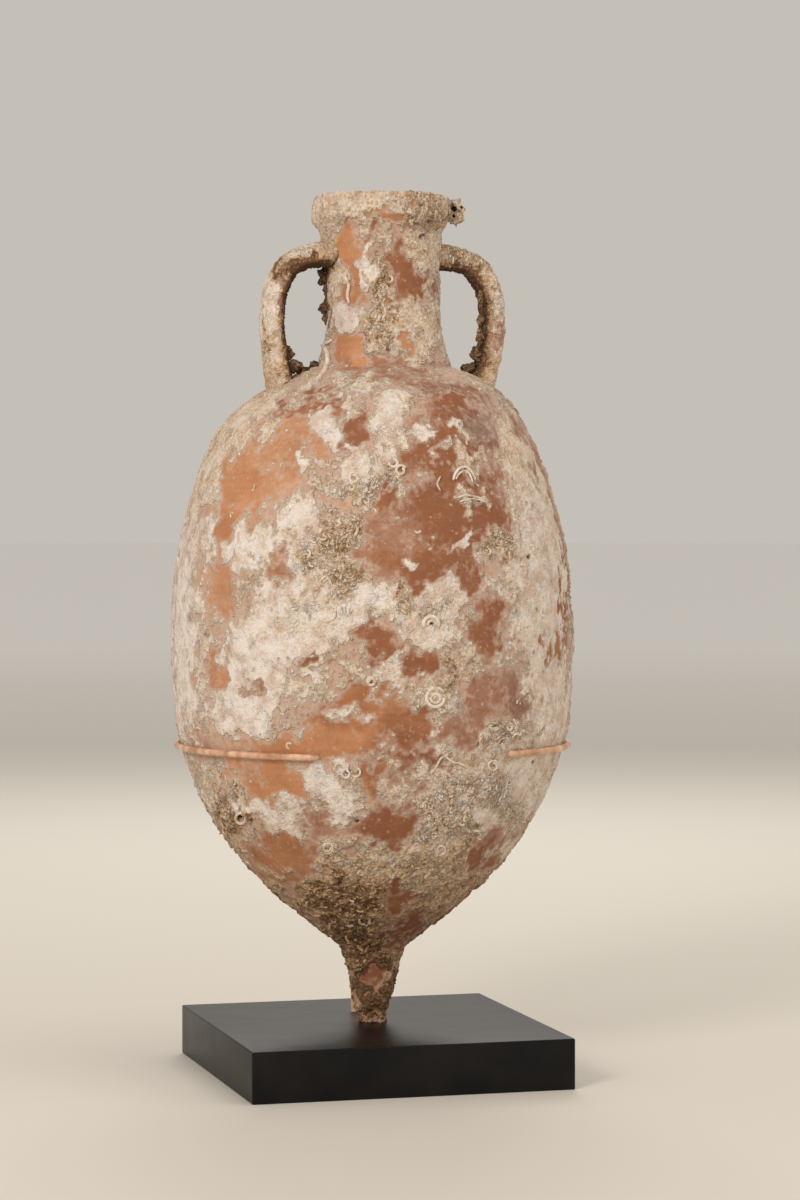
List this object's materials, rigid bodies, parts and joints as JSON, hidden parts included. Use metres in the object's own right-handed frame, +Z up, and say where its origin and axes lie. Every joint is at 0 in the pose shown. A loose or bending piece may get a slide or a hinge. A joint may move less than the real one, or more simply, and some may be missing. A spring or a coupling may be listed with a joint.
{
  "type": "storage amphora",
  "caption": "Tall two-handled clay storage amphora with a pointed toe and sea crust, held upright by a rod cradle on a square base block.",
  "frame": {"origin": "centre of the base block's underside", "axes": "+Z up along the amphora's axis, +X towards the right handle seen from the front, -Y to the front, where the cradle's two arms leave their gap"},
  "size_m": [0.414, 0.4179, 0.8998],
  "materials": {
    "fired_clay": "unglazed orange earthenware under dry cream marine crust",
    "cradle_metal": "satin paint toned to the clay",
    "base_wood": "black satin lacquer"
  },
  "bodies": {
    "root": {"amphora": "fired_clay", "cradle": "cradle_metal", "base_block": "base_wood"}
  },
  "joints": []
}
